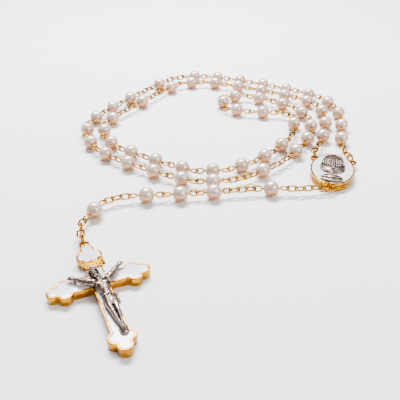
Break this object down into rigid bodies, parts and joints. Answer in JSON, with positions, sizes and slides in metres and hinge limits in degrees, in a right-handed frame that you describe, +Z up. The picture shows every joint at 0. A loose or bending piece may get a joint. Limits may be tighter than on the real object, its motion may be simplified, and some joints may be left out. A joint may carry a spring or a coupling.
{
  "type": "rosary",
  "caption": "Pearl-bead rosary on fine gold chain, laid flat as a doubled loop, with an oval enamelled chalice medal and an enamelled crucifix.",
  "frame": {"origin": "centre of the medal's flat back, on the surface the rosary lies on", "axes": "+Z up out of the medal's face; the loop lies towards +Y and -X, and the crucifix towards -Y and -X"},
  "size_m": [0.1017, 0.157, 0.006],
  "materials": {
    "pearl": "imitation pearl lacquer with a warm sheen",
    "gold_wire": "bright gold-plated wire",
    "gilt_casting": "polished gold-plated casting",
    "enamel": "glossy white enamel",
    "old_silver": "antique silver, dark in the recesses"
  },
  "bodies": {
    "medal": {"medal_case": "gilt_casting", "medal_enamel": "enamel", "medal_chalice": "old_silver", "ring_left": "gold_wire", "ring_right": "gold_wire", "ring_foot": "gold_wire"},
    "decade_1_a": {"decade_1_a_beads": "pearl", "decade_1_a_wire": "gold_wire"},
    "decade_1_b": {"decade_1_b_beads": "pearl", "decade_1_b_wire": "gold_wire"},
    "decade_1_c": {"decade_1_c_beads": "pearl", "decade_1_c_wire": "gold_wire"},
    "our_father_1": {"our_father_1_beads": "pearl", "our_father_1_wire": "gold_wire"},
    "decade_2_a": {"decade_2_a_beads": "pearl", "decade_2_a_wire": "gold_wire"},
    "decade_2_b": {"decade_2_b_beads": "pearl", "decade_2_b_wire": "gold_wire"},
    "decade_2_c": {"decade_2_c_beads": "pearl", "decade_2_c_wire": "gold_wire"},
    "our_father_2": {"our_father_2_beads": "pearl", "our_father_2_wire": "gold_wire"},
    "decade_3_a": {"decade_3_a_beads": "pearl", "decade_3_a_wire": "gold_wire"},
    "decade_3_b": {"decade_3_b_beads": "pearl", "decade_3_b_wire": "gold_wire"},
    "decade_3_c": {"decade_3_c_beads": "pearl", "decade_3_c_wire": "gold_wire"},
    "our_father_3": {"our_father_3_beads": "pearl", "our_father_3_wire": "gold_wire"},
    "decade_4_a": {"decade_4_a_beads": "pearl", "decade_4_a_wire": "gold_wire"},
    "decade_4_b": {"decade_4_b_beads": "pearl", "decade_4_b_wire": "gold_wire"},
    "decade_4_c": {"decade_4_c_beads": "pearl", "decade_4_c_wire": "gold_wire"},
    "our_father_4": {"our_father_4_beads": "pearl", "our_father_4_wire": "gold_wire"},
    "decade_5_a": {"decade_5_a_beads": "pearl", "decade_5_a_wire": "gold_wire"},
    "decade_5_b": {"decade_5_b_beads": "pearl", "decade_5_b_wire": "gold_wire"},
    "decade_5_c": {"decade_5_c_beads": "pearl", "decade_5_c_wire": "gold_wire"},
    "tail_1": {"tail_1_beads": "pearl", "tail_1_wire": "gold_wire"},
    "tail_2": {"tail_2_beads": "pearl", "tail_2_wire": "gold_wire"},
    "tail_3": {"tail_3_beads": "pearl", "tail_3_wire": "gold_wire"},
    "tail_4": {"tail_4_beads": "pearl", "tail_4_wire": "gold_wire"},
    "tail_5": {"tail_5_beads": "pearl", "tail_5_wire": "gold_wire"},
    "crucifix_links": {"crucifix_links": "gold_wire"},
    "crucifix": {"crucifix_ring": "gold_wire", "cross_frame": "gilt_casting", "cross_enamel": "enamel", "corpus": "old_silver", "title_scroll": "gilt_casting"}
  },
  "joints": [
    {"name": "decade_1_a_lift", "type": "hinge", "parent": "medal", "child": "decade_1_a", "pos_m": [-0.00415, 0.01123, 0.0025], "axis": [0.9962, -0.0872, 0], "range_deg": [-40, 40]},
    {"name": "decade_1_b_lift", "type": "hinge", "parent": "decade_1_a", "child": "decade_1_b", "pos_m": [0.00319, 0.04924, 0.0025], "axis": [-0.7279, -0.6857, 0], "range_deg": [-40, 40]},
    {"name": "decade_1_c_lift", "type": "hinge", "parent": "decade_1_b", "child": "decade_1_c", "pos_m": [-0.0327, 0.06997, 0.0025], "axis": [0.2906, 0.9568, 0], "range_deg": [-40, 40]},
    {"name": "our_father_1_lift", "type": "hinge", "parent": "decade_1_c", "child": "our_father_1", "pos_m": [-0.05997, 0.06283, 0.0025], "axis": [0.8159, -0.5782, 0], "range_deg": [-40, 40]},
    {"name": "decade_2_a_lift", "type": "hinge", "parent": "our_father_1", "child": "decade_2_a", "pos_m": [-0.07044, 0.04862, 0.0025], "axis": [-0.8026, 0.5965, 0], "range_deg": [-40, 40]},
    {"name": "decade_2_b_lift", "type": "hinge", "parent": "decade_2_a", "child": "decade_2_b", "pos_m": [-0.07211, 0.01409, 0.0025], "axis": [0.5381, 0.8429, 0], "range_deg": [-40, 40]},
    {"name": "decade_2_c_lift", "type": "hinge", "parent": "decade_2_b", "child": "decade_2_c", "pos_m": [-0.03429, 0.00004, 0.0025], "axis": [0.4894, -0.8721, 0], "range_deg": [-40, 40]},
    {"name": "our_father_2_lift", "type": "hinge", "parent": "decade_2_c", "child": "our_father_2", "pos_m": [-0.01174, 0.02127, 0.0025], "axis": [-0.8858, 0.4641, 0], "range_deg": [-40, 40]},
    {"name": "decade_3_a_lift", "type": "hinge", "parent": "our_father_2", "child": "decade_3_a", "pos_m": [-0.00797, 0.0382, 0.0025], "axis": [0.9986, -0.0527, 0], "range_deg": [-40, 40]},
    {"name": "decade_3_b_lift", "type": "hinge", "parent": "decade_3_a", "child": "decade_3_b", "pos_m": [-0.0342, 0.05691, 0.0025], "axis": [-0.1366, 0.9906, 0], "range_deg": [-40, 40]},
    {"name": "decade_5_c_lift", "type": "hinge", "parent": "medal", "child": "decade_5_c", "pos_m": [0.00723, 0.00816, 0.0025], "axis": [0.9848, 0.1736, 0], "range_deg": [-40, 40]},
    {"name": "decade_5_b_lift", "type": "hinge", "parent": "decade_5_c", "child": "decade_5_b", "pos_m": [0.01021, 0.04754, 0.0025], "axis": [-0.9212, -0.3892, 0], "range_deg": [-40, 40]},
    {"name": "decade_5_a_lift", "type": "hinge", "parent": "decade_5_b", "child": "decade_5_a", "pos_m": [-0.02167, 0.07222, 0.0025], "axis": [0.3843, 0.9232, 0], "range_deg": [-40, 40]},
    {"name": "our_father_4_lift", "type": "hinge", "parent": "decade_5_a", "child": "our_father_4", "pos_m": [-0.05193, 0.07826, 0.0025], "axis": [0.4353, -0.9003, 0], "range_deg": [-40, 40]},
    {"name": "decade_4_c_lift", "type": "hinge", "parent": "our_father_4", "child": "decade_4_c", "pos_m": [-0.06483, 0.06659, 0.0025], "axis": [-0.7734, 0.6339, 0], "range_deg": [-40, 40]},
    {"name": "decade_4_b_lift", "type": "hinge", "parent": "decade_4_c", "child": "decade_4_b", "pos_m": [-0.08624, 0.03321, 0.0025], "axis": [0.9997, 0.0243, 0], "range_deg": [-40, 40]},
    {"name": "decade_4_a_lift", "type": "hinge", "parent": "decade_4_b", "child": "decade_4_a", "pos_m": [-0.06361, 0.00135, 0.0025], "axis": [-0.4985, -0.8669, 0], "range_deg": [-40, 40]},
    {"name": "our_father_3_lift", "type": "hinge", "parent": "decade_4_a", "child": "our_father_3", "pos_m": [-0.03423, -0.00658, 0.0025], "axis": [-0.2959, 0.9552, 0], "range_deg": [-40, 40]},
    {"name": "decade_3_c_lift", "type": "hinge", "parent": "our_father_3", "child": "decade_3_c", "pos_m": [-0.01917, 0.00232, 0.0025], "axis": [0.5987, -0.8009, 0], "range_deg": [-40, 40]},
    {"name": "tail_1_swing", "type": "hinge", "parent": "medal", "child": "tail_1", "pos_m": [-0.00651, -0.01079, 0.0025], "axis": [0, 0, 1], "range_deg": [0, 45]},
    {"name": "tail_2_lift", "type": "hinge", "parent": "tail_1", "child": "tail_2", "pos_m": [-0.02643, -0.01155, 0.0025], "axis": [-0.0289, 0.9996, 0], "range_deg": [-40, 40]},
    {"name": "tail_3_swing", "type": "hinge", "parent": "tail_2", "child": "tail_3", "pos_m": [-0.04429, -0.01392, 0.0025], "axis": [0, 0, 1], "range_deg": [-10, 50]},
    {"name": "tail_4_lift", "type": "hinge", "parent": "tail_3", "child": "tail_4", "pos_m": [-0.05568, -0.0148, 0.0025], "axis": [0.0652, -0.9979, 0], "range_deg": [-40, 40]},
    {"name": "tail_5_swing", "type": "hinge", "parent": "tail_4", "child": "tail_5", "pos_m": [-0.06524, -0.01543, 0.0025], "axis": [0, 0, -1], "range_deg": [-40, 15]},
    {"name": "crucifix_links_lift", "type": "hinge", "parent": "tail_5", "child": "crucifix_links", "pos_m": [-0.07756, -0.02747, 0.0025], "axis": [-0.9041, 0.4272, 0], "range_deg": [-40, 40]},
    {"name": "crucifix_lift", "type": "hinge", "parent": "crucifix_links", "child": "crucifix", "pos_m": [-0.07712, -0.03569, 0.0025], "axis": [0.9184, 0.3957, 0], "range_deg": [-45, 45]}
  ]
}
